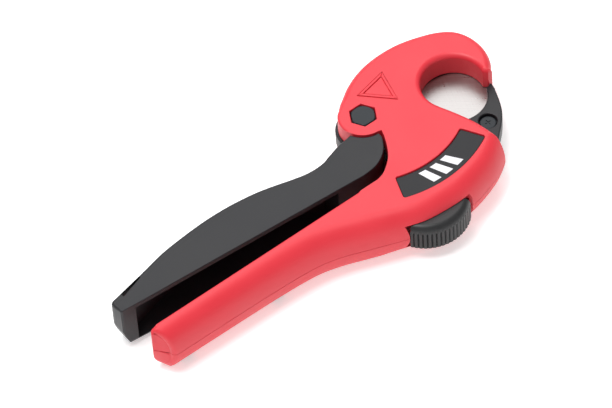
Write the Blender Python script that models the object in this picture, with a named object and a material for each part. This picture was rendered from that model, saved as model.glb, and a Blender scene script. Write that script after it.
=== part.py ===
"""Single-stroke pipe cutter: two-part housing, lever with blade carrier, blade and thumb lock.

Built in metres, +Z up. The outlines below are in millimetres about the pivot bolt's axis, with +X
towards the jaw and +Y from the grip towards the lever; z = 0 is the rear face that the tool lies on.
"""
import math

import bmesh
import bpy
from mathutils import Matrix, Vector

MM = 0.001

# Driving dimensions, in millimetres and degrees
THICKNESS = 27.0            # housing and lever, rear face to front face
MID = THICKNESS / 2         # the seam between the two shells
SEAM_GAP = 0.3              # left between the shells, and between touching pieces
BOX_CENTRE = (-39.2, -21.3)   # middle of the whole tool's box, seen from the pivot

LOCK_CLEAR_R = 59.7         # the lock's rim stays outside this radius about the pivot
CORE_LOW, CORE_HIGH = 9.5, 17.5     # lever's eye and carrier
SWEEP_LOW, SWEEP_HIGH = 9.1, 17.9   # hollow round them
BLADE_LOW, BLADE_HIGH = 12.4, 14.6
BLADE_SLOT = 0.3            # play on each side of the blade
BLADE_SWEEP_R = 58.4        # the jaw's slot for the blade, about the pivot

BOSS_R = 11.0               # shell boss round the bolt
EYE_R = 12.3                # lever's eye
LEVER_INSET = 0.7           # the lever's flat sides stand this far inside the housing's
JAW = (40.9, -10.1)         # jaw's centre
JAW_R = 14.0

BOLT_AF = 10.0              # M6 hex, across flats
BOLT_R = 3.0
SLEEVE_R = 4.5
SLEEVE_BORE = 3.2

LOCK_PIVOT = (-3.5, -46.0)
LOCK_R = 19.6               # knurled rim about the lock's pivot
LOCK_LOW, LOCK_HIGH = 6.5, 20.5
LOCK_ARM_LOW, LOCK_ARM_HIGH = 18.4, 22.2
STUD_PATH_R = 38.0          # lock stud on the blade carrier, about the pivot
STUD_ANGLE = -62.0
STUD_R = 1.0
STUD_HIGH = 20.8

LABEL_CENTRE = (5.0, 7.0)
LABEL_R = (45.0, 56.4)
LABEL_ANGLES = (-110.2, -60.8)
LABEL_DEEP = 1.8
LABEL_THICK = 0.9

# Shell screws: place, and height of the head's seat above the rear face
SHELL_SCREWS = [((15.0, 12.5), 2.8), ((50.0, 13.2), 2.8), ((-30.0, -41.0), 5.0), ((-76.0, -36.0), 7.0),
                ((-124.0, -35.8), 7.0)]
BLADE_SCREWS = [(43.0, -31.0), (30.5, -27.5)]

RED = (0.80, 0.045, 0.06)
BLACK = (0.025, 0.025, 0.028)
STEEL = (0.62, 0.62, 0.63)
DARK_STEEL = (0.07, 0.075, 0.08)


# ---------------------------------------------------------------- scene and materials

for old in list(bpy.data.objects):
    bpy.data.objects.remove(old)

parts = bpy.data.collections.new("pipe_cutter")
cutters = bpy.data.collections.new("cutters")
bpy.context.scene.collection.children.link(parts)
bpy.context.scene.collection.children.link(cutters)


def frame_empty(name, place):
    """An empty that carries the pieces of one moving body; its origin is on the joint's axis."""
    empty = bpy.data.objects.new(name, None)
    parts.objects.link(empty)
    empty.location = [(place[k] - BOX_CENTRE[k]) * MM for k in (0, 1)] + [0.0]
    return empty


PIVOT = (0.0, 0.0)
housing_frame = frame_empty("housing_frame", PIVOT)
lever_frame = frame_empty("lever_frame", PIVOT)
lock_frame = frame_empty("lock_frame", LOCK_PIVOT)
FRAME_PLACE = {housing_frame: PIVOT, lever_frame: PIVOT, lock_frame: LOCK_PIVOT}


def finish(obj, frame, colour, roughness, metallic=0.0):
    """Put a piece in its moving frame and give it its own material."""
    place = FRAME_PLACE[frame]
    obj.data.transform(Matrix.Translation((-place[0] * MM, -place[1] * MM, 0.0)))
    obj.parent = frame
    material = bpy.data.materials.new(obj.name + "_finish")
    material.use_nodes = True
    shader = material.node_tree.nodes["Principled BSDF"]
    shader.inputs["Base Color"].default_value = (*colour, 1.0)
    shader.inputs["Roughness"].default_value = roughness
    shader.inputs["Metallic"].default_value = metallic
    obj.data.materials.clear()
    obj.data.materials.append(material)
    return obj


# ---------------------------------------------------------------- outlines

def arc(centre, radius, start, end, steps):
    """Points along an arc, from start to end in degrees."""
    points = []
    for k in range(steps + 1):
        angle = math.radians(start + (end - start) * k / steps)
        points.append((centre[0] + radius * math.cos(angle), centre[1] + radius * math.sin(angle)))
    return points


def spline(points, steps):
    """A smooth curve through the points (Catmull-Rom)."""
    ends = [points[0]] + points + [points[-1]]
    curve = []
    for p0, p1, p2, p3 in zip(ends, ends[1:], ends[2:], ends[3:]):
        for k in range(steps):
            t = k / steps
            curve.append(tuple(
                0.5 * (2 * b + (c - a) * t + (2 * a - 5 * b + 4 * c - d) * t * t
                       + (3 * b - a - 3 * c + d) * t ** 3)
                for a, b, c, d in zip(p0, p1, p2, p3)))
    return curve + [points[-1]]


def plate(name, outlines, low, high, collection=parts):
    """A flat plate between two heights; outlines after the first are holes."""
    curve = bpy.data.curves.new(name, "CURVE")
    curve.dimensions = "2D"
    curve.fill_mode = "BOTH"
    curve.extrude = (high - low) / 2 * MM
    for outline in outlines:
        line = curve.splines.new("POLY")
        line.points.add(len(outline) - 1)
        for point, place in zip(line.points, outline):
            point.co = (place[0] * MM, place[1] * MM, 0.0, 1.0)
        line.use_cyclic_u = True
    drawn = bpy.data.objects.new(name + "_curve", curve)
    drawn.location.z = (low + high) / 2 * MM
    collection.objects.link(drawn)
    bpy.context.view_layer.update()
    mesh = bpy.data.meshes.new_from_object(drawn.evaluated_get(bpy.context.evaluated_depsgraph_get()))
    weld(mesh)
    mesh.transform(drawn.matrix_world)
    bpy.data.objects.remove(drawn)
    obj = bpy.data.objects.new(name, mesh)
    collection.objects.link(obj)
    return obj


def weld(mesh):
    """Join the loose caps that a curve leaves."""
    work = bmesh.new()
    work.from_mesh(mesh)
    bmesh.ops.remove_doubles(work, verts=work.verts, dist=0.002 * MM)
    bmesh.ops.recalc_face_normals(work, faces=work.faces)
    work.to_mesh(mesh)
    work.free()


def disc(name, place, radius, low, high, steps=24, collection=parts):
    """A plain round bar standing on low."""
    return plate(name, [arc(place, radius, 0, 360 * (1 - 1 / steps), steps - 1)], low, high, collection)


def hexagon(place, across_flats, turn=0.0):
    """A hexagon with two corners on the X axis, turned by some degrees."""
    return arc(place, across_flats / math.sqrt(3), turn, turn + 300, 5)


def boolean(obj, tool, operation):
    """Cut, join or trim a piece with another, which stays hidden in the cutters' collection."""
    for owner in list(tool.users_collection):
        owner.objects.unlink(tool)
    cutters.objects.link(tool)
    tool.hide_render = True
    tool.display_type = "WIRE"
    step = obj.modifiers.new(operation.lower(), "BOOLEAN")
    step.operation = operation
    step.object = tool
    step.solver = "EXACT"


def settle(obj):
    """Apply the piece's modifiers, so that it can be moved to its frame."""
    bpy.context.view_layer.update()
    mesh = bpy.data.meshes.new_from_object(obj.evaluated_get(bpy.context.evaluated_depsgraph_get()))
    obj.modifiers.clear()
    obj.data = mesh
    return obj


# ---------------------------------------------------------------- housing shells

HEAD = [(58.6, -14.4), (61.0, -11.0), (62.8, -6.5), (63.6, -1.0), (62.8, 5.3), (60.0, 11.3), (54.8, 15.8),
        (47.5, 19.2), (36.5, 22.3), (25.5, 23.0), (15.0, 21.5), (5.2, 17.6), (-3.6, 11.6)]
GRIP_INNER = [(-20.0, -24.0), (-27.0, -31.3), (-60.0, -31.3), (-100.0, -31.3), (-133.5, -31.3)]
# Corner points of the grip's end with the width of their side rounding
GRIP_END = [(-135.8, -31.8, 1.6), (-137.2, -33.4, 2.2), (-136.8, -35.4, 3.0), (-135.6, -38.0, 4.0),
            (-134.0, -40.2, 5.0), (-131.5, -41.4, 6.5)]
GRIP_OUTER = [(-125.0, -41.6), (-112.0, -41.7), (-80.0, -42.1), (-60.0, -43.2), (-48.5, -45.8), (-37.0, -50.2),
              (-25.0, -54.9)]
HOUSING_RIM = [(-25.0, -54.9), (-14.0, -58.9), (-3.0, -60.3), (8.0, -60.3), (19.0, -58.2), (29.5, -54.5),
               (38.0, -49.2), (44.0, -43.0)]
MOUTH_EDGE = [(28.5, -16.8), (31.6, -24.0), (34.4, -31.8), (36.0, -39.0), (36.8, -45.0), (37.0, -50.0)]
CARRIER_RIM = [(31.5, -48.0), (38.0, -43.4), (42.9, -39.2), (47.5, -35.0), (51.3, -30.4), (54.2, -25.0),
               (56.5, -19.2), (57.2, -15.8)]
# The hollow that the carrier sweeps, as radius and angle about the pivot
SWEEP_RIM = [(57.9, -101), (58.0, -92), (58.6, -85), (59.4, -79), (60.0, -73), (60.2, -66), (60.2, -56),
             (60.2, -46), (60.2, -36), (60.2, -25)]


def body_outline(front):
    """The housing at its seam as (x, y, side rounding's width, its height)."""
    side = MID - SEAM_GAP / 2
    barrel = (8.0 if front else 12.0, side)
    grip = (9.0, side)
    head = (3.5, 3.5)
    plain = (1.2, 1.2)
    end = [([(x, y)], (width, 2 * width)) for x, y, width in GRIP_END]
    stretches = [
        (spline(HEAD, 3), head),
        (arc(PIVOT, BOSS_R, 125, 190, 6), plain),
        (GRIP_INNER, plain),
        *end,
        (spline(GRIP_OUTER, 2)[:-1], grip),
        (spline(HOUSING_RIM, 3), barrel),
        ([(52.5, -31.0)], head),
    ]
    return [(x, y, *rounding) for points, rounding in stretches for x, y in points]


def shell_blank(name, front):
    """Half of the housing: outlines that draw in towards the flat face as each side's rounding asks."""
    outline = body_outline(front)
    count = len(outline)
    base = MID + SEAM_GAP / 2 if front else MID - SEAM_GAP / 2
    face = THICKNESS if front else 0.0
    heights = [0.0, 0.25, 0.45, 0.63, 0.77, 0.88, 0.96, 1.0]
    depth = abs(face - base)
    verts = []
    for level in heights:
        for k, (x, y, width, height) in enumerate(outline):
            before, after = outline[k - 1], outline[(k + 1) % count]
            along = Vector((after[0] - before[0], after[1] - before[1])).normalized()
            up = max(0.0, level * depth - (depth - height)) / height
            inset = width * (1 - math.sqrt(max(0.0, 1 - up * up)))
            verts.append(((x - along.y * inset) * MM, (y + along.x * inset) * MM,
                          (base + (face - base) * level) * MM))
    faces = [tuple(range(count)), tuple(range((len(heights) - 1) * count, len(heights) * count))]
    for level in range(len(heights) - 1):
        for k in range(count):
            low, high = level * count, (level + 1) * count
            after = (k + 1) % count
            faces.append((low + k, low + after, high + after, high + k))
    mesh = bpy.data.meshes.new(name)
    mesh.from_pydata(verts, [], faces)
    weld(mesh)
    obj = bpy.data.objects.new(name, mesh)
    parts.objects.link(obj)
    return obj


def mouth_outline():
    """Jaw opening, its mouth and everything outside the body's edge beside it."""
    return (arc(JAW, JAW_R, -14, 206, 32) + spline(MOUTH_EDGE, 3)
            + [(36.0, -75.0), (85.0, -75.0), (85.0, -20.0), (59.5, -15.3), (56.2, -15.3)])


def lever_notch():
    """The gap that the lever's head turns in."""
    return (arc(PIVOT, BOSS_R, 187, 267, 12)
            + [(0.9, -11.5), (-0.1, -14.6), (-2.8, -20.0), (-6.5, -25.2), (-12.5, -29.9), (-17.0, -31.3),
               (-40.0, -31.3), (-60.0, -20.0), (-30.0, -1.3)])


def sweep_outline():
    """Hollow for the lever's eye and blade carrier, over the whole of their travel."""
    rim = [arc(PIVOT, radius, angle, angle, 1)[0] for radius, angle in SWEEP_RIM]
    return (spline(rim, 3) + [(50.0, -14.0), (30.0, 3.0)]
            + arc(PIVOT, EYE_R + 0.6, 15, 110, 8)
            + [(-20.0, 20.0), (-50.0, 0.0), (-30.0, -31.0), (-17.0, -34.0)])


def blade_slot_outline():
    """Slot in the jaw that the blade closes into."""
    return arc(PIVOT, BLADE_SWEEP_R, -30, 10.5, 10) + [(8.0, 10.6), (8.0, -12.0)]


def lock_room():
    """Hollow that the knurled rim of the lock turns in."""
    return arc(LOCK_PIVOT, LOCK_R + 0.4, 206, 318, 14) + arc(LOCK_PIVOT, 6.5, 318, 206, 8)


def lock_arm_room():
    """Hollow for the lock's hub, arm and spring, in front of the blade carrier."""
    x, y = LOCK_PIVOT
    return [(x - 6.2, y + 5.5), (x - 6.2, y - 5.0), (x - 5.0, y - 9.4), (x + 11.0, y - 9.4), (22.0, -43.0),
            (20.0, -33.0), (13.0, -33.0), (0.0, -38.5)]


def stud_room():
    """Path of the lever's lock stud, in the front shell."""
    return arc(PIVOT, STUD_PATH_R + 1.6, -108, -57, 10) + arc(PIVOT, STUD_PATH_R - 1.6, -57, -108, 10)


def label_outline(play=0.0):
    """The label's ring sector."""
    inner, outer = LABEL_R[0] - play, LABEL_R[1] + play
    start, end = LABEL_ANGLES[0] - play, LABEL_ANGLES[1] + play
    return arc(LABEL_CENTRE, outer, start, end, 16) + arc(LABEL_CENTRE, inner, end, start, 14)


def housing_shell(name, front):
    """One shell: blank, jaw and lever gap cut right through, then its hollows and seats."""
    shell = shell_blank(name, front)

    def cut(label, outline, low, high):
        boolean(shell, plate(name + "_" + label, [outline], low, high, cutters), "DIFFERENCE")

    cut("mouth", mouth_outline(), -1, THICKNESS + 1)
    cut("notch", lever_notch(), -1, THICKNESS + 1)
    cut("sweep", sweep_outline(), SWEEP_LOW, SWEEP_HIGH)
    cut("blade_slot", blade_slot_outline(), BLADE_LOW - 0.4, BLADE_HIGH + 0.4)
    cut("lock_room", lock_room(), LOCK_LOW - 0.3, LOCK_HIGH + 0.3)
    if front:
        cut("arm_room", lock_arm_room(), MID, LOCK_ARM_HIGH + 0.4)
        cut("stud_room", stud_room(), MID, STUD_HIGH + 0.5)
        cut("label", label_outline(0.3), THICKNESS - LABEL_DEEP, THICKNESS + 1)
        cut("bolt_seat", hexagon(PIVOT, BOLT_AF + 0.7, 0.0), 22.6, THICKNESS + 1)
        cut("spring_seat", arc(PIVOT, 9.4, 0, 345, 23), MID, 21.4)
        cut("lock_screw_hole", arc(LOCK_PIVOT, 1.5, 0, 330, 11), MID, 25.2)
    else:
        cut("nut_seat", hexagon(PIVOT, BOLT_AF + 0.7, 0.0), -1, 4.6)
    cut("bolt_hole", arc(PIVOT, BOLT_R + 0.3, 0, 345, 23), -1, THICKNESS + 1)
    for k, (place, seat) in enumerate(SHELL_SCREWS, 1):
        cut(f"screw_hole_{k}", arc(place, 1.6, 0, 330, 11), 2.0, 22.0)
        if not front:
            cut(f"screw_head_{k}", arc(place, 3.1, 0, 345, 23), -1, seat)
    return finish(settle(shell), housing_frame, RED, 0.42)


front_shell = housing_shell("front_shell", True)
rear_shell = housing_shell("rear_shell", False)

LABEL_LOW = THICKNESS - LABEL_DEEP + 0.2
label = plate("label_insert", [label_outline()], LABEL_LOW, LABEL_LOW + LABEL_THICK)
finish(label, housing_frame, BLACK, 0.5)


# ---------------------------------------------------------------- pivot

def pivot():
    """Bolt from the front, nut in the rear, sleeve and two washers between the shells."""
    bolt = plate("pivot_bolt", [hexagon(PIVOT, BOLT_AF)], 23.0, 26.4)
    boolean(bolt, disc("bolt_shank", PIVOT, BOLT_R, 0.8, 23.5, collection=cutters), "UNION")
    finish(settle(bolt), housing_frame, DARK_STEEL, 0.4, 0.8)
    nut = plate("pivot_nut", [hexagon(PIVOT, BOLT_AF), arc(PIVOT, BOLT_R + 0.15, 0, 345, 23)], 0.3, 4.3)
    finish(nut, housing_frame, DARK_STEEL, 0.4, 0.8)
    ring = arc(PIVOT, SLEEVE_BORE, 0, 345, 23)
    sleeve = plate("pivot_sleeve", [arc(PIVOT, SLEEVE_R, 0, 345, 23), ring], 9.6, 21.2)
    finish(sleeve, housing_frame, STEEL, 0.35, 1.0)
    rear = plate("rear_washer", [arc(PIVOT, 8.0, 0, 345, 23), arc(PIVOT, 4.8, 0, 345, 23)], 9.15, 9.4)
    finish(rear, housing_frame, STEEL, 0.35, 1.0)
    front = plate("front_washer", [arc(PIVOT, 8.0, 0, 345, 23), arc(PIVOT, 4.8, 0, 345, 23)], 17.6, 17.85)
    finish(front, housing_frame, STEEL, 0.35, 1.0)


pivot()


# ---------------------------------------------------------------- lever

LEVER_OUTER = [(-14.8, -5.4), (-18.8, -6.0), (-28.0, -8.8), (-38.5, -8.6), (-60.5, -2.9), (-82.0, -0.9),
               (-106.0, -2.5), (-122.0, -5.8), (-140.6, -9.8)]
LEVER_END = [(-142.0, -12.0), (-141.2, -17.2)]
LEVER_INNER = [(-19.8, -25.7), (-13.8, -25.1), (-9.1, -23.3), (-4.8, -20.0), (-1.3, -14.8), (-0.9, -11.6)]


def lever_outline():
    """The lever's side view, from the boss round the handle and back."""
    return (spline(LEVER_OUTER, 3) + LEVER_END + spline(LEVER_INNER, 2)
            + arc(PIVOT, BOSS_R + 0.6, 267, 204, 8)[1:])


def channel_outline():
    """The lever's hollow, open towards the grip."""
    web = [(x, y - 3.2) for x, y in spline(LEVER_OUTER[3:-1], 3)]
    return [(-37.0, -40.0), (-37.0, -13.5)] + web[1:] + [(-134.5, -12.6), (-134.5, -40.0)]


def core_outline():
    """Eye round the bolt, and the blade carrier that it reaches through the housing."""
    return (arc(JAW, JAW_R + 0.8, -25, -165, 20)
            + arc(PIVOT, EYE_R, -15, 188, 22)
            + [(-17.0, -7.5), (-30.0, -12.0), (-30.0, -22.0), (-20.0, -24.0), (-9.0, -22.3), (-4.6, -19.0),
               (-1.2, -14.4), (4.0, -19.0), (12.0, -34.5)]
            + spline(CARRIER_RIM, 2))


def lever():
    """One black moulding: channel handle, head round the boss, eye and blade carrier."""
    body = plate("lever", [lever_outline()], LEVER_INSET, THICKNESS - LEVER_INSET)

    def cut(label, outline, low, high):
        boolean(body, plate("lever_" + label, [outline], low, high, cutters), "DIFFERENCE")

    cut("channel", channel_outline(), 3.0, THICKNESS - 3.0)
    cut("hang_slot", [(-136.0, -16.0), (-124.0, -16.0), (-124.0, 0.0), (-136.0, 0.0)], 15.5, 22.5)
    cut("hang_notch", [(-136.4, -10.6), (-124.0, -8.0), (-124.0, 0.0), (-136.4, 0.0)], 18.0, 25.3)
    boolean(body, plate("core", [core_outline()], CORE_LOW, CORE_HIGH, cutters), "UNION")
    cut("blade_slot", blade_outline(-BLADE_SLOT), BLADE_LOW - BLADE_SLOT, BLADE_HIGH + BLADE_SLOT)
    cut("bore", arc(PIVOT, SLEEVE_R + 0.3, 0, 345, 23), 0, THICKNESS)
    cut("pad_seat", pad_outline(0.3), 3.4, THICKNESS - 3.4)
    for k, place in enumerate(BLADE_SCREWS, 1):
        cut(f"screw_{k}", arc(place, 1.9, 0, 330, 11), 0, THICKNESS)
        cut(f"screw_head_{k}", arc(place, 4.0, 0, 345, 23), 15.4, THICKNESS)
        cut(f"screw_nut_{k}", hexagon(place, 6.2), 0, 11.3)
    stud_place = arc(PIVOT, STUD_PATH_R, STUD_ANGLE, STUD_ANGLE, 1)[0]
    boolean(body, disc("lock_stud", stud_place, STUD_R, 17.0, STUD_HIGH, 12, cutters), "UNION")
    finish(settle(body), lever_frame, BLACK, 0.5)


def pad_outline(play=0.0):
    """Soft pad let into the lever's back."""
    back = [(x, y + 0.8) for x, y in spline(LEVER_OUTER[3:7], 3)]
    inner = [(x, y - 1.2 - play) for x, y in spline(LEVER_OUTER[3:7], 3)]
    back[0] = (back[0][0] + play, back[0][1])
    inner[0] = (inner[0][0] + play, inner[0][1])
    back[-1] = (back[-1][0] - play, back[-1][1])
    inner[-1] = (inner[-1][0] - play, inner[-1][1])
    return back + inner[::-1]


def blade_outline(play=0.0):
    """Blade: ring round the sleeve, straight cutting edge, heel held in the carrier."""
    return (arc(PIVOT, 9.0 - play, 100, 215, 10)
            + [(6.0, -12.0 + play), (24.5 + play, -35.0 + play), (38.0, -39.0 + play), (47.0 - play, -33.0)]
            + [(56.0 - play, -15.8), (57.0, -12.0), (57.4, 0.5), (48.0, 4.0), (32.0, 6.4), (10.0, 8.6)])


def blade():
    """Blade with its two screws and nuts."""
    holes = [arc(PIVOT, SLEEVE_R + 0.3, 0, 345, 23)]
    holes += [arc(place, 1.9, 0, 330, 11) for place in BLADE_SCREWS]
    finish(plate("blade", [blade_outline()] + holes, BLADE_LOW, BLADE_HIGH), lever_frame, STEEL, 0.3, 1.0)
    for k, place in enumerate(BLADE_SCREWS, 1):
        screw = disc(f"blade_screw_{k}", place, 3.6, 15.6, 16.3)
        boolean(screw, disc(f"blade_shank_{k}", place, 1.5, 9.8, 16.0, 12, cutters), "UNION")
        finish(settle(screw), lever_frame, DARK_STEEL, 0.4, 0.8)
        hole = arc(place, 1.7, 0, 330, 11)
        finish(plate(f"blade_nut_{k}", [hexagon(place, 5.5), hole], 9.7, 11.0), lever_frame, STEEL, 0.35, 1.0)


lever()
blade()
finish(plate("lever_pad", [pad_outline()], 3.8, THICKNESS - 3.8), lever_frame, BLACK, 0.8)


# ---------------------------------------------------------------- lock

def lock():
    """Knurled rim, arm that blocks the lever's stud, and the screw that they turn on."""
    x, y = LOCK_PIVOT
    rim = arc(LOCK_PIVOT, LOCK_R, 212, 311, 22) + arc(LOCK_PIVOT, 7.5, 311, 212, 10)
    catch = plate("lock_catch", [rim], LOCK_LOW, LOCK_HIGH)
    clear = arc(PIVOT, LOCK_CLEAR_R, -130, -40, 24) + [PIVOT]
    boolean(catch, plate("lock_clearance", [clear], 0, LOCK_ARM_LOW, cutters), "DIFFERENCE")
    tip = arc(PIVOT, STUD_PATH_R + 1.4, -69.0, -64.8, 1)
    arm = ([(x + 2.0, y + 3.6), (x - 4.0, y + 3.0), (x - 4.0, y - 8.6), (x + 6.5, y - 8.6)]
           + [(x + 6.0, y - 2.5), (18.4, -39.5)] + tip[::-1])
    boolean(catch, plate("lock_arm", [arm], LOCK_ARM_LOW, LOCK_ARM_HIGH, cutters), "UNION")
    boolean(catch, disc("lock_bore", LOCK_PIVOT, 1.7, 0, THICKNESS, 16, cutters), "DIFFERENCE")
    finish(settle(catch), lock_frame, BLACK, 0.5)
    screw = disc("lock_screw", LOCK_PIVOT, 1.3, 18.6, 25.0, 12)
    finish(screw, housing_frame, STEEL, 0.35, 1.0)


lock()


# ---------------------------------------------------------------- springs

def wire(name, points, radius, colour, frame):
    """A round wire along the points."""
    curve = bpy.data.curves.new(name, "CURVE")
    curve.dimensions = "3D"
    curve.bevel_depth = radius * MM
    curve.bevel_resolution = 1
    curve.use_fill_caps = True
    line = curve.splines.new("POLY")
    line.points.add(len(points) - 1)
    for point, place in zip(line.points, points):
        point.co = (place[0] * MM, place[1] * MM, place[2] * MM, 1.0)
    drawn = bpy.data.objects.new(name + "_curve", curve)
    parts.objects.link(drawn)
    bpy.context.view_layer.update()
    mesh = bpy.data.meshes.new_from_object(drawn.evaluated_get(bpy.context.evaluated_depsgraph_get()))
    bpy.data.objects.remove(drawn)
    weld(mesh)
    obj = bpy.data.objects.new(name, mesh)
    parts.objects.link(obj)
    return finish(obj, frame, colour, 0.35, 1.0)


def return_spring():
    """Torsion spring round the sleeve, in its seat in the front shell."""
    turns, radius, low, pitch = 2.0, 6.6, 18.7, 1.0
    steps = 36
    coil = []
    for k in range(steps + 1):
        angle = 2 * math.pi * turns * k / steps
        coil.append((radius * math.cos(angle), radius * math.sin(angle), low + pitch * turns * k / steps))
    wire("return_spring", coil, 0.4, STEEL, housing_frame)


def lock_spring():
    """Bent leaf of spring wire beside the lock's hub."""
    x, y = LOCK_PIVOT
    run = [(x - 5.4, y + 4.5), (x - 4.9, y), (x - 5.4, y - 4.0)]
    wire("lock_spring", [(a, b, 20.2) for a, b in run], 0.25, STEEL, housing_frame)


return_spring()
lock_spring()


# ---------------------------------------------------------------- shell screws

for number, (spot, seat_height) in enumerate(SHELL_SCREWS, 1):
    shell_screw = disc(f"shell_screw_{number}", spot, 2.7, seat_height - 2.2, seat_height - 0.3)
    shank = disc(f"shell_shank_{number}", spot, 1.3, seat_height - 1.0, 20.0, 12, cutters)
    boolean(shell_screw, shank, "UNION")
    finish(settle(shell_screw), housing_frame, DARK_STEEL, 0.4, 0.8)
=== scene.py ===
"""Looks of the pipe cutter: red moulded shells, black lever and lock, brushed blade.

The pieces below stand for the CAD nodes at a finer resolution, with rounded lips, knurling and screw
recesses. Outlines are in millimetres about the pivot bolt's axis, +X towards the jaw and +Y from the
grip towards the lever; z = 0 is the rear face that the tool lies on.
"""
import math

import bmesh
import bpy
from mathutils import Matrix, Vector


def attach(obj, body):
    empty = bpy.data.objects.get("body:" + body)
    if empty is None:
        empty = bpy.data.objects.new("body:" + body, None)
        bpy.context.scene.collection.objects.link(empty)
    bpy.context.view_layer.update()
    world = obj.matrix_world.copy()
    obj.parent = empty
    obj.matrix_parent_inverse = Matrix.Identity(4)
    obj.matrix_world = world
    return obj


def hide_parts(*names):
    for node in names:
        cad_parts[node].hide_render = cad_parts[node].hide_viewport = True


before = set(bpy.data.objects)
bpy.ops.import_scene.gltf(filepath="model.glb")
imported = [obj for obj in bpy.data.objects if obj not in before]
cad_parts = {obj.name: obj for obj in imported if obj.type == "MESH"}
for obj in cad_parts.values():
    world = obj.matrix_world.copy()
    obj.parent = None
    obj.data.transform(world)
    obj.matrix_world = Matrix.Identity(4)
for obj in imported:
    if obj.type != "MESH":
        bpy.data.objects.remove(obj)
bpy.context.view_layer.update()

MM = 0.001
THICKNESS = 27.0
FACE = 26.6                             # front shell's face, below the raised triangle
MID = THICKNESS / 2
SEAM = 0.22                             # gap between the shells' rims
PIVOT_AT = Vector((39.2, 21.3, 0.0))    # the bolt's axis in the frame, in millimetres

PIVOT = (0.0, 0.0)
BOSS_R = 11.0
EYE_R = 12.3
JAW = (40.9, -10.1)
JAW_R = 14.0
LOCK_PIVOT = (-3.5, -46.0)
LOCK_R = 19.5
LABEL_CENTRE = (5.0, 7.0)
LABEL_R = (45.0, 56.4)
LABEL_ANGLES = (-110.2, -60.8)
SHELL_SCREWS = [((15.0, 12.5), 2.8), ((50.0, 13.2), 2.8), ((-30.0, -41.0), 5.0), ((-76.0, -36.0), 7.0),
                ((-124.0, -35.8), 7.0)]
BLADE_SCREWS = [(43.0, -31.0), (30.5, -27.5)]

BOLT_AF = 10.0                          # hexagon bolt and nut, across flats
BOLT_SEAT_AF = 10.9
SLEEVE_BORE_R = 4.8                     # holes in carrier and blade, round the sleeve
SHELL_SCREW_BORE_R = 1.6
SHELL_SCREW_HEAD_R = 3.1
BLADE_SCREW_BORE_R = 1.9
LEVER_ROOM = (9.1, 17.9)                # heights of the gap that the eye and carrier turn in
BLADE_ROOM = (12.0, 15.0)               # heights of the blade's slot in the jaw
BLADE_SWEEP_R = 58.4
LOCK_CLEAR_R = 59.7                     # the lock's rim stays outside the carrier's sweep
STUD_R = 38.0                           # the lever's stud, from the pivot
STUD_ANGLE = -62.0
LOCK_ARM = (18.4, 22.2)                 # heights of the lock's arm


# ---------------------------------------------------------------- outlines

def arc(centre, radius, start, end, steps):
    """Points along an arc, from start to end in degrees."""
    points = []
    for k in range(steps + 1):
        angle = math.radians(start + (end - start) * k / steps)
        points.append((centre[0] + radius * math.cos(angle), centre[1] + radius * math.sin(angle)))
    return points


def circle(centre, radius, steps=48):
    """A whole circle."""
    return arc(centre, radius, 0, 360 * (1 - 1 / steps), steps - 1)


def hexagon(centre, across_flats):
    """A hexagon with two corners on the X axis."""
    return arc(centre, across_flats / math.sqrt(3), 0, 300, 5)


def spline(points, steps):
    """A smooth curve through the points (Catmull-Rom)."""
    ends = [points[0]] + points + [points[-1]]
    curve = []
    for p0, p1, p2, p3 in zip(ends, ends[1:], ends[2:], ends[3:]):
        for k in range(steps):
            t = k / steps
            curve.append(tuple(
                0.5 * (2 * b + (c - a) * t + (2 * a - 5 * b + 4 * c - d) * t * t
                       + (3 * b - a - 3 * c + d) * t ** 3)
                for a, b, c, d in zip(p0, p1, p2, p3)))
    return curve + [points[-1]]


def resample(outline, spacing):
    """The closed outline of (x, y, ...) with evenly spaced points; the other values go along."""
    dense = []
    for here, after in zip(outline, outline[1:] + outline[:1]):
        count = max(1, round(math.dist(here[:2], after[:2]) / spacing))
        for k in range(count):
            t = k / count
            dense.append(tuple(a + (b - a) * t for a, b in zip(here, after)))
    return dense


def averaged(values, reach):
    """Each row of the closed list averaged with its neighbours."""
    count = len(values)
    smooth = []
    for k in range(count):
        rows = [values[(k + step) % count] for step in range(-reach, reach + 1)]
        smooth.append(tuple(sum(column) / len(rows) for column in zip(*rows)))
    return smooth


def inward(outline, reach=1):
    """Unit normals of the closed outline, to its inside."""
    area = sum(a[0] * b[1] - b[0] * a[1] for a, b in zip(outline, outline[1:] + outline[:1]))
    side = 1.0 if area > 0 else -1.0
    normals = []
    for k in range(len(outline)):
        before, after = outline[k - 1], outline[(k + 1) % len(outline)]
        along = Vector((after[0] - before[0], after[1] - before[1]))
        along = along.normalized() if along.length > 1e-6 else Vector((1.0, 0.0))
        normals.append((-along.y * side, along.x * side))
    return [Vector(n).normalized() for n in averaged(normals, reach)]


# ---------------------------------------------------------------- solids

def skin(name, rings):
    """A closed solid through rings of (x, y, z), each with the same number of points."""
    count = len(rings[0])
    verts = [(Vector(point) + PIVOT_AT) * MM for ring in rings for point in ring]
    faces = [tuple(range(count)), tuple(range((len(rings) - 1) * count, len(rings) * count))]
    for level in range(len(rings) - 1):
        for k in range(count):
            low, high, after = level * count, (level + 1) * count, (k + 1) % count
            faces.append((low + k, low + after, high + after, high + k))
    mesh = bpy.data.meshes.new(name)
    mesh.from_pydata(verts, [], faces)
    work = bmesh.new()
    work.from_mesh(mesh)
    bmesh.ops.recalc_face_normals(work, faces=work.faces)
    if work.calc_volume(signed=True) < 0:
        bmesh.ops.reverse_faces(work, faces=work.faces)
    work.to_mesh(mesh)
    work.free()
    obj = bpy.data.objects.new(name, mesh)
    bpy.context.scene.collection.objects.link(obj)
    return obj


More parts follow.
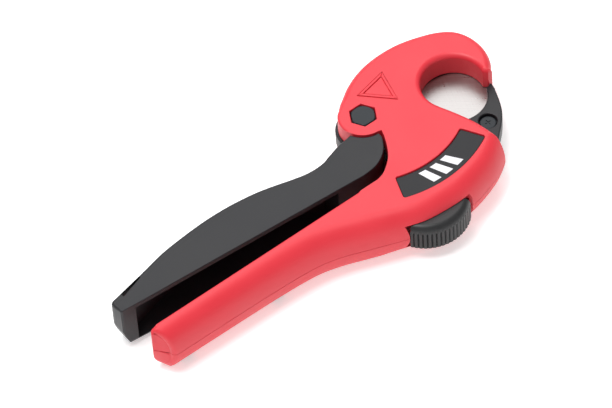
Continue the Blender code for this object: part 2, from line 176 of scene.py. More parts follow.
def rounded(name, outline, low, high, bottom=(0.0, 0.0), top=(0.0, 0.0), steps=5, reach=1, beyond=0.0):
    """A plate whose sides draw in (or out, with a negative width) near its faces.

    bottom and top are (width, height) of the rounding, or a list with one such pair for each point.
    A cutter's rounded ends run straight on by beyond.
    """
    normals = inward(outline, reach)

    def ring(pairs, share, from_face):
        points = []
        for (x, y), normal, (width, height) in zip(outline, normals, pairs):
            rise = math.sin(share * math.pi / 2)
            inset = width * (1 - math.cos(share * math.pi / 2))
            z = from_face + (-1 if from_face > low else 1) * height * (1 - rise)
            points.append((x + normal.x * inset, y + normal.y * inset, z))
        return points

    bottoms = bottom if isinstance(bottom, list) else [bottom] * len(outline)
    tops = top if isinstance(top, list) else [top] * len(outline)
    shares = [k / steps for k in range(steps + 1)]
    below = [ring(bottoms, s, low) for s in reversed(shares)] if max(b[1] for b in bottoms) else []
    above = [ring(tops, s, high) for s in shares] if max(t[1] for t in tops) else []
    below = below or [[(x, y, low) for x, y in outline]]
    above = above or [[(x, y, high) for x, y in outline]]
    if beyond:
        below = [[(x, y, z - beyond) for x, y, z in below[0]]] + below
        above = above + [[(x, y, z + beyond) for x, y, z in above[-1]]]
    return skin(name, below + above)


def combine(obj, tool, operation):
    """Cut, join or trim a solid with another, and drop the other."""
    step = obj.modifiers.new(operation.lower(), "BOOLEAN")
    step.operation = operation
    step.object = tool
    step.solver = "EXACT"
    bpy.context.view_layer.update()
    mesh = bpy.data.meshes.new_from_object(obj.evaluated_get(bpy.context.evaluated_depsgraph_get()))
    obj.modifiers.clear()
    obj.data = mesh
    bpy.data.objects.remove(tool)


def cut(obj, outline, low, high, lip=0.0, steps=4):
    """Cut a prism out; lip rounds the rim of the cut where its high end meets a face."""
    if lip:
        tool = rounded("tool", outline, low + 1.0, high, top=(-lip, lip), steps=steps, reach=0, beyond=1.0)
    else:
        tool = rounded("tool", outline, low, high)
    combine(obj, tool, "DIFFERENCE")


def shade(obj, angle=32):
    """Smooth shading with edges kept sharp above an angle, and flat faces kept flat."""
    work = bmesh.new()
    work.from_mesh(obj.data)
    bmesh.ops.remove_doubles(work, verts=work.verts, dist=0.004 * MM)
    for face in work.faces:
        face.smooth = True
    for edge in work.edges:
        edge.smooth = edge.calc_face_angle(0.0) < math.radians(angle)
    work.to_mesh(obj.data)
    work.free()
    weighted = obj.modifiers.new("weighted", "WEIGHTED_NORMAL")
    weighted.keep_sharp = True


def piece(obj, body, slot, material, *nodes):
    """Hand a finished solid to its CAD body, in place of its CAD nodes."""
    shade(obj)
    obj.data.materials.clear()
    obj.data.materials.append(material)
    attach(obj, body)
    if nodes:
        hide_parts(*nodes)
    return obj


# ---------------------------------------------------------------- materials

def new_material(name):
    """A material with its node tree, shader and a texture coordinate in object space."""
    material = bpy.data.materials.new(name)
    material.use_nodes = True
    nodes = material.node_tree.nodes
    coordinates = nodes.new("ShaderNodeTexCoord")
    return material, nodes, material.node_tree.links, nodes["Principled BSDF"], coordinates.outputs["Object"]


def noise(nodes, links, vector, scale, detail=3.0, stretch=None, turn=0.0):
    """Noise in object space, drawn out along X by stretch after a turn about Z."""
    texture = nodes.new("ShaderNodeTexNoise")
    texture.inputs["Scale"].default_value = scale
    texture.inputs["Detail"].default_value = detail
    if stretch:
        mapping = nodes.new("ShaderNodeMapping")
        mapping.inputs["Rotation"].default_value = (0.0, 0.0, math.radians(turn))
        squeeze = nodes.new("ShaderNodeMapping")
        squeeze.inputs["Scale"].default_value = (1.0 / stretch, 1.0, 1.0)
        links.new(vector, mapping.inputs["Vector"])
        links.new(mapping.outputs["Vector"], squeeze.inputs["Vector"])
        vector = squeeze.outputs["Vector"]
    links.new(vector, texture.inputs["Vector"])
    return texture.outputs[0]


def spread(nodes, links, value, low, high):
    """The value's middle range mapped to low..high."""
    mapped = nodes.new("ShaderNodeMapRange")
    mapped.inputs["From Min"].default_value = 0.3
    mapped.inputs["From Max"].default_value = 0.7
    mapped.inputs["To Min"].default_value = low
    mapped.inputs["To Max"].default_value = high
    links.new(value, mapped.inputs["Value"])
    return mapped.outputs["Result"]


def tinted(nodes, links, value, first, second):
    """Two colours mixed by a value."""
    ramp = nodes.new("ShaderNodeValToRGB")
    ramp.color_ramp.elements[0].position = 0.3
    ramp.color_ramp.elements[1].position = 0.7
    ramp.color_ramp.elements[0].color = (*first, 1.0)
    ramp.color_ramp.elements[1].color = (*second, 1.0)
    links.new(value, ramp.inputs["Fac"])
    return ramp.outputs["Color"]


def bump(nodes, links, shader, value, strength, depth):
    """Surface relief from a value; depth in millimetres."""
    relief = nodes.new("ShaderNodeBump")
    relief.inputs["Strength"].default_value = strength
    relief.inputs["Distance"].default_value = depth * MM
    links.new(value, relief.inputs["Height"])
    links.new(relief.outputs["Normal"], shader.inputs["Normal"])


def moulded(name, colour, shadow, roughness, grain, depth, specular=0.5):
    """Moulded plastic: fine grain, slight mottling of colour and gloss."""
    material, nodes, links, shader, place = new_material(name)
    cloud = noise(nodes, links, place, 60.0, 4.0)
    fine = noise(nodes, links, place, grain, 2.0)
    links.new(tinted(nodes, links, cloud, shadow, colour), shader.inputs["Base Color"])
    links.new(spread(nodes, links, cloud, roughness - 0.04, roughness + 0.05), shader.inputs["Roughness"])
    shader.inputs["Specular IOR Level"].default_value = specular
    bump(nodes, links, shader, fine, 0.35, depth)
    return material


def metal(name, colour, dark, roughness, turn, crossed=True):
    """Ground steel: fine scratches in one or two directions."""
    material, nodes, links, shader, place = new_material(name)
    share = 0.65
    first = noise(nodes, links, place, 1500.0, 3.0, 30.0, turn)
    if crossed:
        second = noise(nodes, links, place, 1100.0, 3.0, 22.0, turn + 74.0)
        both = nodes.new("ShaderNodeMath")
        both.operation = "MULTIPLY_ADD"
        both.inputs[1].default_value = share
        weaker = nodes.new("ShaderNodeMath")
        weaker.operation = "MULTIPLY"
        weaker.inputs[1].default_value = 1 - share
        links.new(second, weaker.inputs[0])
        links.new(first, both.inputs[0])
        links.new(weaker.outputs[0], both.inputs[2])
        first = both.outputs[0]
    links.new(tinted(nodes, links, first, dark, colour), shader.inputs["Base Color"])
    links.new(spread(nodes, links, first, roughness - 0.05, roughness + 0.08), shader.inputs["Roughness"])
    shader.inputs["Metallic"].default_value = 1.0
    bump(nodes, links, shader, first, 0.15, 0.006)
    return material


RED = moulded("red_shell", (0.68, 0.024, 0.040), (0.65, 0.021, 0.036), 0.46, 2600.0, 0.02)
BLACK = moulded("black_lever", (0.014, 0.014, 0.017), (0.010, 0.010, 0.012), 0.46, 2600.0, 0.02, 0.36)
LOCK_BLACK = moulded("black_lock", (0.016, 0.016, 0.017), (0.012, 0.012, 0.013), 0.42, 2200.0, 0.02, 0.4)
PAD_BLACK = moulded("soft_pad", (0.014, 0.014, 0.015), (0.010, 0.010, 0.010), 0.75, 1800.0, 0.04)
LABEL_BLACK = moulded("label_black", (0.016, 0.016, 0.018), (0.012, 0.012, 0.014), 0.42, 3400.0, 0.012, 0.25)
MARK_WHITE = moulded("mark_white", (0.74, 0.73, 0.77), (0.70, 0.69, 0.73), 0.5, 2600.0, 0.01)
BLADE_STEEL = metal("blade_steel", (0.37, 0.355, 0.35), (0.31, 0.298, 0.292), 0.30, 38.0)
STEEL = metal("plated_steel", (0.66, 0.66, 0.67), (0.50, 0.50, 0.51), 0.32, 0.0, False)
DARK_STEEL = moulded("blackened_steel", (0.020, 0.025, 0.031), (0.014, 0.018, 0.022), 0.40, 1200.0, 0.015,
                     0.25)


# ---------------------------------------------------------------- housing

HEAD = [(58.6, -14.4), (61.0, -11.0), (62.8, -6.5), (63.55, -1.0), (62.8, 5.3), (60.0, 11.3), (54.8, 15.8),
        (47.5, 19.2), (36.5, 22.3), (25.5, 22.95), (15.0, 21.5), (5.2, 17.6), (-3.6, 11.6)]
GRIP_INNER = [(-20.0, -24.0), (-27.0, -31.3), (-60.0, -31.3), (-100.0, -31.3), (-154.0, -31.3),
              (-154.0, -41.5)]
GRIP_OUTER = [(-146.0, -41.5), (-125.0, -41.6), (-112.0, -41.7), (-80.0, -42.1), (-60.0, -43.2),
              (-48.5, -45.8), (-37.0, -50.2), (-25.0, -54.9)]
HOUSING_RIM = [(-25.0, -54.9), (-14.0, -58.9), (-3.0, -60.3), (8.0, -60.3), (19.0, -58.2), (29.5, -54.5),
               (38.0, -49.2), (44.0, -43.0)]
MOUTH_EDGE = [(28.5, -16.8), (31.6, -24.0), (34.4, -31.8), (36.0, -39.0), (36.8, -45.0), (37.0, -50.0)]
# radius and angle about the pivot of the room that the carrier sweeps
SWEEP_RIM = [(57.9, -101), (58.0, -92), (58.6, -85), (59.4, -79), (60.0, -73), (60.2, -66), (60.2, -56),
             (60.2, -46), (60.2, -36), (60.2, -25)]


def body_blank():
    """Both shells in one, with the sides rolled over towards both faces."""
    plain = (1.0, 1.0, 1.0, 1.0)
    head = (3.4, 3.4, 3.4, 3.4)
    upper = FACE - MID
    grip = (9.0, MID, 9.0, upper)
    barrel = (12.0, MID, 8.5, upper)
    stretches = [
        (spline(HEAD, 5), head),
        (arc(PIVOT, BOSS_R, 125, 190, 14), plain),
        (GRIP_INNER, plain),
        (spline(GRIP_OUTER, 5)[:-1], grip),
        (spline(HOUSING_RIM, 5), barrel),
        ([(52.5, -31.0)], head),
    ]
    rows = [(x, y, *rounding) for points, rounding in stretches for x, y in points]
    rows = resample(rows, 1.1)
    sizes = averaged([row[2:] for row in rows], 5)
    outline = [row[:2] for row in rows]
    return rounded("shells", outline, 0.0, FACE, [s[:2] for s in sizes], [s[2:] for s in sizes], 13, 2)


def mouth_outline():
    """Jaw opening, its mouth and everything outside the body's edge beside it."""
    return (arc(JAW, JAW_R, -14, 206, 90) + spline(MOUTH_EDGE, 6)
            + [(36.0, -75.0), (85.0, -75.0), (85.0, -20.0), (59.5, -15.3), (56.2, -15.3)])


def label_outline(play=0.0, corner=1.0):
    """The label's ring sector with rounded corners."""
    inner, outer = LABEL_R[0] - play, LABEL_R[1] + play
    start, end = (math.radians(LABEL_ANGLES[0] - play), math.radians(LABEL_ANGLES[1] + play))
    points = []
    for radius, first, last, side in ((outer, start, end, -1), (inner, end, start, 1)):
        slack = corner / radius * (1 if last > first else -1)
        centre_r = radius + side * corner
        for angle, turn in ((first + slack, 0), (last - slack, 1)):
            middle = (LABEL_CENTRE[0] + centre_r * math.cos(angle),
                      LABEL_CENTRE[1] + centre_r * math.sin(angle))
            heading = math.degrees(angle) + (0 if side < 0 else 180)
            low, high = (heading - 90, heading) if turn == 0 else (heading, heading + 90)
            points += arc(middle, corner, low, high, 5)
            if turn == 0:
                run = arc(LABEL_CENTRE, radius, math.degrees(first + slack), math.degrees(last - slack), 30)
                points += run[1:-1]
    return points


def triangle_bars(wide, spread_out):
    """The three bars of a plain triangle's outline; spread_out moves its outer sides out."""
    corners = [Vector((4.9, 9.7)), Vector((20.6, 13.0)), Vector((16.6, -2.7))]
    middle = sum(corners, Vector((0.0, 0.0))) / 3
    corners = [corner + (corner - middle).normalized() * spread_out * 2 for corner in corners]
    bars = []
    for k in range(3):
        first, second = corners[k], corners[(k + 1) % 3]
        along = (second - first).normalized()
        across = Vector((-along.y, along.x))
        if across.dot(middle - first) < 0:
            across = -across
        slope = math.sqrt(3) * wide
        bars.append([tuple(p) for p in (first, second, second - along * slope + across * wide,
                                        first + along * slope + across * wide)])
    return bars


def triangle_relief():
    """Raised outline of a plain triangle on the front shell, in a shallow moat."""
    for k, bar in enumerate(triangle_bars(1.15, 0.0), 1):
        strip = rounded(f"triangle_{k}", resample(bar, 1.5), FACE - 0.5, THICKNESS, top=(0.25, 0.25),
                        steps=3)
        piece(strip, "housing", "shell", RED)


def cut_housing(body, front):
    """Jaw, lever gap, label recess, bolt seats and lock room of one shell."""
    low, high = -1.0, THICKNESS + 1.0
    lip = 2.4
    jaw = rounded("tool", mouth_outline(), 0.0, FACE, (-lip, lip), (-lip, lip), 7, 1, 1.0)
    combine(body, jaw, "DIFFERENCE")
    notch = (arc(PIVOT, BOSS_R, 187, 267, 24)
             + [(0.9, -11.5)] + spline([(-0.1, -14.6), (-2.8, -20.0), (-6.5, -25.2), (-12.5, -29.9),
                                        (-17.0, -31.3)], 4)
             + [(-40.0, -31.3), (-60.0, -20.0), (-30.0, -1.3)])
    cut(body, notch, low, high)
    rim = [arc(PIVOT, radius, angle, angle, 1)[0] for radius, angle in SWEEP_RIM]
    sweep = (spline(rim, 3) + [(50.0, -14.0), (30.0, 3.0)] + arc(PIVOT, EYE_R + 0.6, 15, 110, 12)
             + [(-20.0, 20.0), (-50.0, 0.0), (-30.0, -31.0), (-17.0, -34.0)])
    cut(body, sweep, *LEVER_ROOM)
    cut(body, arc(PIVOT, BLADE_SWEEP_R, -30, 10.5, 20) + [(8.0, 10.6), (8.0, -12.0)], *BLADE_ROOM)
    cut(body, arc(LOCK_PIVOT, 20.0, 206, 318, 40) + arc(LOCK_PIVOT, 6.5, 318, 206, 12), 6.2, 20.8)
    for place, seat in SHELL_SCREWS:
        cut(body, circle(place, SHELL_SCREW_BORE_R, 20), 2.0, 22.0)
        if not front:
            cut(body, circle(place, SHELL_SCREW_HEAD_R, 40), low, seat)
    if front:
        x, y = LOCK_PIVOT
        inner = MID - 1.0
        arm_room = [(x - 6.2, y + 5.5), (x - 6.2, y - 5.0), (x - 5.0, y - 9.4), (x + 11.0, y - 9.4),
                    (22.0, -43.0), (20.0, -33.0), (13.0, -33.0), (0.0, -38.5)]
        cut(body, arm_room, inner, 22.6)
        cut(body, arc(PIVOT, 39.6, -108, -57, 16) + arc(PIVOT, 36.4, -57, -108, 16), inner, 21.3)
        for bar in triangle_bars(1.85, 0.35):
            cut(body, bar, FACE - 0.28, FACE + 1.0)
        cut(body, label_outline(0.15, 1.1), 25.2, FACE, 0.35)
        cut(body, circle(PIVOT, 9.4), inner, 21.5)
        cut(body, circle(LOCK_PIVOT, 1.5, 16), inner, 24.8)
        cut(body, resample(hexagon(PIVOT, BOLT_SEAT_AF), 2.0), 22.6, FACE, 0.35)
    else:
        cut(body, hexagon(PIVOT, BOLT_SEAT_AF), low, 4.6)
    cut(body, circle(PIVOT, 3.3), low, high)


def trim_grip(body):
    """Square off the grip's end with a domed block, and roll its rear rim over."""
    end, lean = -138.0, 0.45
    side, corner, rear_corner = -31.3, 2.4, 5.0
    section = arc((side - corner, FACE - corner), corner, 0, 90, 6)
    section += [(-41.55 + 8.9 * (1 - math.cos(a)), MID + (FACE - MID) * math.sin(a))
                for a in (math.radians(80 - 10 * k) for k in range(15))]
    section += arc((side - rear_corner, rear_corner), rear_corner, -90, 0, 8)
    normals = inward(section, 0)
    radius, reach = 2.3, 9
    rings = []
    for k in range(reach + 3):
        angle = min(k, reach) / reach * math.pi / 2
        x, inset = radius * (1 - math.cos(angle)), radius * (1 - math.sin(angle))
        if k > reach:
            x, inset = ((radius + 1.5, -0.4), (300.0, -120.0))[k - reach - 1]
        rings.append([(end + x - lean * (y - side), y + normal.x * inset, z + normal.y * inset)
                      for (y, z), normal in zip(section, normals)])
    combine(body, skin("tool", rings), "INTERSECT")
    roll, height = 5.2, 13.0
    profile = [(end - 0.05 + roll * (1 - math.cos(a)), height * (1 - math.sin(a)))
               for a in (math.radians(9 * k) for k in range(11))]
    profile += [(-132.9, -3.0), (-170.0, -3.0), (-170.0, height + 0.5)]
    ends = [[(x - lean * (y - side), y, z) for x, z in profile] for y in (-20.0, -60.0)]
    combine(body, skin("tool", ends), "DIFFERENCE")


def shells():
    """Front and rear shell, cut from one blank at the seam."""
    body = body_blank()
    trim_grip(body)
    box = [(-200.0, -100.0), (100.0, -100.0), (100.0, 60.0), (-200.0, 60.0)]
    for name, drop in (("front_shell", (-10.0, MID + SEAM / 2)), ("rear_shell", (MID - SEAM / 2, 40.0))):
        half = bpy.data.objects.new(name + "_fine", body.data.copy())
        bpy.context.scene.collection.objects.link(half)
        cut(half, box, *drop)
        cut_housing(half, name == "front_shell")
        piece(half, "housing", "shell", RED, name)
    bpy.data.objects.remove(body)


shells()


# ---------------------------------------------------------------- label

def label():
    """Black label in its recess, with a plain mark of three slanted bars."""
    plate = rounded("label_fine", label_outline(-0.1, 0.9), 25.3, 25.9, top=(0.2, 0.2), steps=3)
    piece(plate, "housing", "label", LABEL_BLACK, "label_insert")
    low_r, high_r = 46.9, 54.3
    for k, (start, width) in enumerate(((-94.6, 4.2), (-87.6, 4.2), (-80.6, 4.2)), 1):
        lean = 3.4
        inner = arc(LABEL_CENTRE, low_r, start - lean, start + width - lean, 6)
        outer = arc(LABEL_CENTRE, high_r, start + width, start, 6)
        bar = rounded(f"label_mark_{k}", inner + outer, 25.8, 25.96, top=(0.05, 0.05), steps=2)
        piece(bar, "housing", "label", MARK_WHITE)


label()


# ---------------------------------------------------------------- pivot

def chamfered_hex(name, across_flats, low, high, edge, bore=0.0):
    """A hexagonal head or nut with its corners turned off at the top."""
    steps = 72
    corner = across_flats / math.sqrt(3)
    rings = []
    for z, limit in ((low, corner), (high - edge, corner), (high - edge * 0.35, corner - edge * 0.75),
                     (high, across_flats / 2 - 0.15)):
        ring = []
        for k in range(steps):
            angle = 2 * math.pi * k / steps
            to_flat = (angle + math.pi / 6) % (math.pi / 3) - math.pi / 6
            flat = across_flats / 2 / math.cos(abs(to_flat) - math.pi / 6)
            radius = min(flat, limit)
            ring.append((radius * math.cos(angle), radius * math.sin(angle), z))
        rings.append(ring)
    head = skin(name, rings)
    if bore:
        cut(head, circle(PIVOT, bore, 32), low - 1, high + 1)
    return head


def pivot():
    """Hexagon bolt and nut."""
    bolt = chamfered_hex("pivot_bolt_fine", BOLT_AF, 23.0, 26.4, 0.7)
    combine(bolt, rounded("tool", circle(PIVOT, 3.0, 40), 0.8, 23.5, (0.5, 0.5)), "UNION")
    piece(bolt, "housing", "dark_steel", DARK_STEEL, "pivot_bolt")
    nut = chamfered_hex("pivot_nut_fine", BOLT_AF, 0.3, 4.3, 0.5, 3.15)
    nut.data.transform(Matrix.Translation(Vector((0, 0, 4.6 * MM))) @ Matrix.Scale(-1, 4, Vector((0, 0, 1))))
    nut.data.flip_normals()
    piece(nut, "housing", "dark_steel", DARK_STEEL, "pivot_nut")


pivot()


# ---------------------------------------------------------------- lever

LEVER_OUTER = [(-14.8, -5.4), (-18.8, -6.0), (-28.0, -8.8), (-38.5, -8.6), (-60.5, -2.9), (-82.0, -0.9),
               (-106.0, -2.5), (-122.0, -5.8), (-140.6, -9.8)]
LEVER_INNER = [(-19.8, -25.7), (-13.8, -25.1), (-9.1, -23.3), (-4.8, -20.0), (-1.3, -14.8), (-0.9, -11.6)]
CARRIER_RIM = [(31.5, -48.0), (38.0, -43.4), (42.9, -39.2), (47.5, -35.0), (51.3, -30.4), (54.2, -25.0),
               (56.5, -19.2), (57.2, -15.8)]


def lever_blank():
    """Handle with a rolled back and crisp inner edges."""
    back = (1.6, 1.6, 1.5, 1.5)
    end = (1.0, 1.0, 1.0, 1.4)
    inner = (0.35, 0.35, 0.35, 0.35)
    head = (0.9, 0.9, 0.9, 0.9)
    stretches = [
        (spline(LEVER_OUTER[:3], 6)[:-1], head),
        (spline(LEVER_OUTER[2:], 8)[:-1], back),
        ([(-140.6, -9.8), (-141.6, -10.6), (-141.95, -12.2), (-141.4, -16.6)], end),
        ([(-140.6, -17.2)], (0.8, 0.8, 0.35, 0.35)),
        ([(-130.0, -18.0)], inner),
        (spline(LEVER_INNER, 6), inner),
        (arc(PIVOT, BOSS_R + 0.6, 267, 204, 20)[1:], head),
    ]
    rows = resample([(x, y, *rounding) for points, rounding in stretches for x, y in points], 1.0)
    sizes = averaged([row[2:] for row in rows], 2)
    outline = [row[:2] for row in rows]
    return rounded("lever_fine", outline, 0.7, 26.3, [s[:2] for s in sizes], [s[2:] for s in sizes], 8, 1)


def slant_lever_end(body):
    """Draw the lever's end in towards its rear face, and its inner edge beside the end."""
    profile = spline([(-142.6, 15.5), (-141.4, 11.5), (-139.8, 6.0), (-138.2, 1.8), (-136.6, 0.4),
                      (-134.0, -0.6)], 4) + [(-160.0, -0.6), (-160.0, 15.5)]
    combine(body, skin("tool", [[(x, y, z) for x, z in profile] for y in (0.0, -30.0)]), "DIFFERENCE")
    profile = spline([(-19.0, 9.0), (-17.6, 5.5), (-16.2, 1.8), (-15.0, 0.5), (-13.5, -0.6)], 4)
    profile += [(-30.0, -0.6), (-30.0, 9.0)]
    ends = [[(x, y + shift, z) for y, z in profile] for x, shift in ((-146.0, 0.6), (-96.0, -5.0))]
    combine(body, skin("tool", ends), "DIFFERENCE")


def pad_outline(play=0.0):
    """Soft pad let into the lever's back."""
    back = [(x, y + 0.8) for x, y in spline(LEVER_OUTER[3:7], 8)]
    inner = [(x, y - 1.2 - play) for x, y in spline(LEVER_OUTER[3:7], 8)]
    back[0] = (back[0][0] + play, back[0][1])
    inner[0] = (inner[0][0] + play, inner[0][1])
    back[-1] = (back[-1][0] - play, back[-1][1])
    inner[-1] = (inner[-1][0] - play, inner[-1][1])
    return back + inner[::-1]


def blade_outline(play=0.0):
    """Blade: ring round the sleeve, straight cutting edge, heel held in the carrier."""
    return (arc(PIVOT, 9.0 - play, 100, 215, 24)
            + [(6.0, -12.0 + play), (24.5 + play, -35.0 + play), (38.0, -39.0 + play), (47.0 - play, -33.0)]
            + [(56.0 - play, -15.8), (57.0, -12.0), (57.4, 0.5), (48.0, 4.0), (32.0, 6.4), (10.0, 8.6)])


def lever():
    """Handle, eye and blade carrier in one black moulding."""
    body = lever_blank()
    slant_lever_end(body)
    web = [(x, y - 3.2) for x, y in spline(LEVER_OUTER[3:-1], 8)]
    channel = [(-33.0, -40.0), (-33.0, -14.8), (-37.0, -13.5)] + web[1:] + [(-134.5, -12.6), (-134.5, -40.0)]
    cut(body, channel, 3.0, 24.0)
    cut(body, [(-136.0, -16.0), (-124.0, -16.0), (-124.0, 0.0), (-136.0, 0.0)], 15.5, 22.5)
    cut(body, [(-135.8, -11.5), (-124.5, -7.9), (-124.5, -7.0), (-135.8, -9.4)], 18.0, 27.0)
    cut(body, pad_outline(0.3), 3.4, THICKNESS - 3.4)
    core = (arc(JAW, JAW_R + 0.8, -25, -165, 60) + arc(PIVOT, EYE_R, -15, 188, 60)
            + [(-17.0, -7.5), (-30.0, -12.0), (-30.0, -22.0), (-20.0, -24.0), (-9.0, -22.3), (-4.6, -19.0),
               (-1.2, -14.4), (4.0, -19.0), (12.0, -34.5)]
            + spline(CARRIER_RIM, 6))
    core = resample(core, 1.2)
    edge = [(0.2, 0.2) if x > 53.0 and y > -20.0 else (0.7, 0.7) for x, y in core]
    plate = rounded("carrier", core, 9.5, 17.5, edge, edge, 4)
    for place in BLADE_SCREWS:
        cut(plate, circle(place, BLADE_SCREW_BORE_R, 24), 0, THICKNESS)
        cut(plate, circle(place, 4.0, 60), 15.4, 17.5, 0.5)
        cut(plate, hexagon(place, 6.2), 0, 11.3)
    stud = arc(PIVOT, STUD_R, STUD_ANGLE, STUD_ANGLE, 1)[0]
    combine(plate, rounded("tool", circle(stud, 1.0, 24), 17.0, 20.8, top=(0.25, 0.25)), "UNION")
    cut(plate, circle(PIVOT, SLEEVE_BORE_R), 0, THICKNESS)
    cut(plate, blade_outline(-0.3), 12.1, 14.9)
    combine(body, plate, "UNION")
    piece(body, "lever", "lever", BLACK, "lever")
    pad = rounded("pad_fine", resample(pad_outline(), 1.5), 3.8, THICKNESS - 3.8, (0.3, 0.5), (0.3, 0.5), 3)
    piece(pad, "lever", "pad", PAD_BLACK, "lever_pad")


lever()


def blade():
    """Blade with its cutting edge ground from both sides."""
    outline = resample(blade_outline(), 1.0)
    grind = []
    for x, y in outline:
        cutting = 10.0 < x < 57.3 and y > 8.8 - 0.155 * (x - 10.0) - 1.5
        grind.append((2.6, 1.02) if cutting else (0.12, 0.12))
    plate = rounded("blade_fine", outline, 12.4, 14.6, grind, grind, 2)
    cut(plate, circle(PIVOT, SLEEVE_BORE_R), 0, THICKNESS)
    for place in BLADE_SCREWS:
        cut(plate, circle(place, BLADE_SCREW_BORE_R, 24), 0, THICKNESS)
    piece(plate, "lever", "blade", BLADE_STEEL, "blade")


blade()


# ---------------------------------------------------------------- lock

def lock():
    """Knurled rim with a rolled top edge, hub and the arm that blocks the lever's stud."""
    x, y = LOCK_PIVOT
    start, end, ribs, per_rib = 212.0, 311.0, 17, 8
    count = ribs * per_rib
    levels = [(6.5, 0.9, 0.0), (7.4, 0.0, 0.6), (8.6, 0.0, 1.0), (16.4, 0.0, 1.0), (17.1, 0.1, 0.4),
              (17.8, 0.25, 0.0), (18.8, 0.65, 0.0), (19.6, 1.25, 0.0), (20.2, 2.1, 0.0), (20.5, 3.2, 0.0)]
    rings = []
    for z, inset, share in levels:
        ring = []
        for k in range(count + 1):
            angle = math.radians(start + (end - start) * k / count)
            groove = 0.0 if k % per_rib < per_rib - 3 else 0.55 * math.sin(
                math.pi * ((k % per_rib) - (per_rib - 3) + 0.5) / 3)
            radius = LOCK_R - inset - groove * share
            ring.append((x + radius * math.cos(angle), y + radius * math.sin(angle), z))
        ring += [(a, b, z) for a, b in arc(LOCK_PIVOT, 7.5, end, start, 20)]
        rings.append(ring)
    catch = skin("lock_fine", rings)
    cut(catch, arc(PIVOT, LOCK_CLEAR_R, -130, -40, 60) + [PIVOT], 0, LOCK_ARM[0])
    tip = arc(PIVOT, 39.4, -69.0, -64.8, 1)
    arm = [(x + 2.0, y + 3.6), (x - 4.0, y + 3.0), (x - 4.0, y - 8.6), (x + 6.5, y - 8.6),
           (x + 6.0, y - 2.5), (18.4, -39.5)] + tip[::-1]
    combine(catch, rounded("tool", arm, *LOCK_ARM), "UNION")
    cut(catch, circle(LOCK_PIVOT, 1.7, 32), 0, THICKNESS)
    piece(catch, "lock", "lever", LOCK_BLACK, "lock_catch")


lock()


# ---------------------------------------------------------------- screws

def cross_recess(obj, place, low, high):
    """Cross recess in a screw's head."""
    for wide, deep in ((2.9, 0.62), (0.62, 2.9)):
        bar = [(place[0] - wide / 2, place[1] - deep / 2), (place[0] + wide / 2, place[1] - deep / 2),
               (place[0] + wide / 2, place[1] + deep / 2), (place[0] - wide / 2, place[1] + deep / 2)]
        cut(obj, bar, low, high)


def screws():
    """Shell screws from behind, blade screws with their nuts."""
    for number, (place, seat) in enumerate(SHELL_SCREWS, 1):
        head = rounded(f"shell_screw_{number}_fine", circle(place, 2.7, 48), seat - 2.2, seat - 0.3,
                       (0.8, 0.7))
        cross_recess(head, place, seat - 3.0, seat - 1.1)
        combine(head, rounded("tool", circle(place, 1.3, 24), seat - 1.0, 20.0, top=(0.5, 0.8)), "UNION")
        piece(head, "housing", "dark_steel", DARK_STEEL, f"shell_screw_{number}")
    for number, place in enumerate(BLADE_SCREWS, 1):
        head = rounded(f"blade_screw_{number}_fine", circle(place, 3.6, 48), 15.6, 16.3, top=(0.5, 0.4))
        cross_recess(head, place, 16.0, 17.0)
        combine(head, rounded("tool", circle(place, 1.5, 24), 9.8, 15.8), "UNION")
        piece(head, "lever", "dark_steel", DARK_STEEL, f"blade_screw_{number}")
        nut = chamfered_hex(f"blade_nut_{number}_fine", 5.5, 9.7, 11.0, 0.3, 1.7)
        nut.data.transform(Matrix.Translation(Vector((place[0], place[1], 0.0)) * MM))
        piece(nut, "lever", "steel", STEEL, f"blade_nut_{number}")


screws()
triangle_relief()


# ---------------------------------------------------------------- parts shown as the CAD has them

def finish_cad_parts():
    """Plated steel on the sleeve, washers, springs and hinge screw inside the shells."""
    for name in ("pivot_sleeve", "front_washer", "rear_washer", "lock_screw", "return_spring",
                 "lock_spring"):
        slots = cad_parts[name].data.materials
        slots.clear()
        slots.append(STEEL)


finish_cad_parts()


# ---------------------------------------------------------------- camera, lights, floor

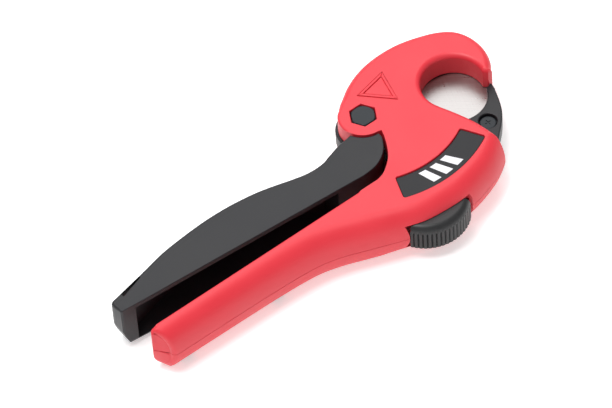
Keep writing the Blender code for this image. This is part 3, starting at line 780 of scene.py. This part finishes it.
def add_camera():
    """A long lens, 52 degrees above the bench, looking along the tool from its grip end."""
    rise, spin, roll = math.radians(52), math.radians(34.5), math.radians(4.5)
    lens, distance = 294.1, 2.113
    right = Vector((math.cos(spin), -math.sin(spin), 0.0))
    away = Vector((math.sin(spin), math.cos(spin), 0.0))
    up = away * math.sin(rise) + Vector((0, 0, 1)) * math.cos(rise)
    back = -away * math.cos(rise) + Vector((0, 0, 1)) * math.sin(rise)
    tilted_right = right * math.cos(roll) - up * math.sin(roll)
    tilted_up = right * math.sin(roll) + up * math.cos(roll)
    aim = (Vector((-42.3, -13.7, 13.5)) + PIVOT_AT) * MM
    camera = bpy.data.objects.new("camera", bpy.data.cameras.new("camera"))
    camera.data.sensor_width = 36.0
    camera.data.lens = lens
    camera.data.clip_start = 0.1
    camera.data.clip_end = 20.0
    turn = Matrix((tilted_right, tilted_up, back)).transposed().to_4x4()
    camera.matrix_world = Matrix.Translation(aim + back * distance) @ turn
    bpy.context.scene.collection.objects.link(camera)
    bpy.context.scene.camera = camera


def area_light(name, place, aim, size, power):
    """A soft box at a place, turned to its aim."""
    light = bpy.data.lights.new(name, "AREA")
    light.shape = "RECTANGLE"
    light.size, light.size_y = size
    light.energy = power
    obj = bpy.data.objects.new(name, light)
    obj.location = place
    obj.rotation_euler = (Vector(aim) - Vector(place)).to_track_quat("-Z", "Y").to_euler()
    bpy.context.scene.collection.objects.link(obj)


def add_studio():
    """White floor, pale surroundings, soft boxes behind and overhead, and a weak one in front."""
    world = bpy.data.worlds.new("studio")
    world.use_nodes = True
    world.node_tree.nodes["Background"].inputs["Color"].default_value = (1, 1, 1, 1)
    world.node_tree.nodes["Background"].inputs["Strength"].default_value = 0.55
    bpy.context.scene.world = world
    bpy.context.scene.view_settings.view_transform = "Standard"
    area_light("back_box", (0.42, 0.62, 0.85), (0, 0, 0), (0.9, 0.7), 4.8)
    area_light("top_box", (-0.25, 0.1, 1.1), (0, 0, 0), (0.5, 0.5), 9.4)
    area_light("fill_box", (-0.7, -1.0, 0.45), (0, 0, 0), (0.8, 0.5), 0.35)
    bpy.ops.mesh.primitive_plane_add(size=6.0, location=(0, 0, -0.0005))
    floor = bpy.context.object
    floor.name = "floor"
    paint = bpy.data.materials.new("floor_paint")
    paint.use_nodes = True
    shader = paint.node_tree.nodes["Principled BSDF"]
    shader.inputs["Base Color"].default_value = (0.86, 0.86, 0.86, 1)
    shader.inputs["Emission Color"].default_value = (1.0, 1.0, 1.0, 1)
    shader.inputs["Emission Strength"].default_value = 0.42
    shader.inputs["Roughness"].default_value = 0.9
    floor.data.materials.append(paint)


add_camera()
add_studio()
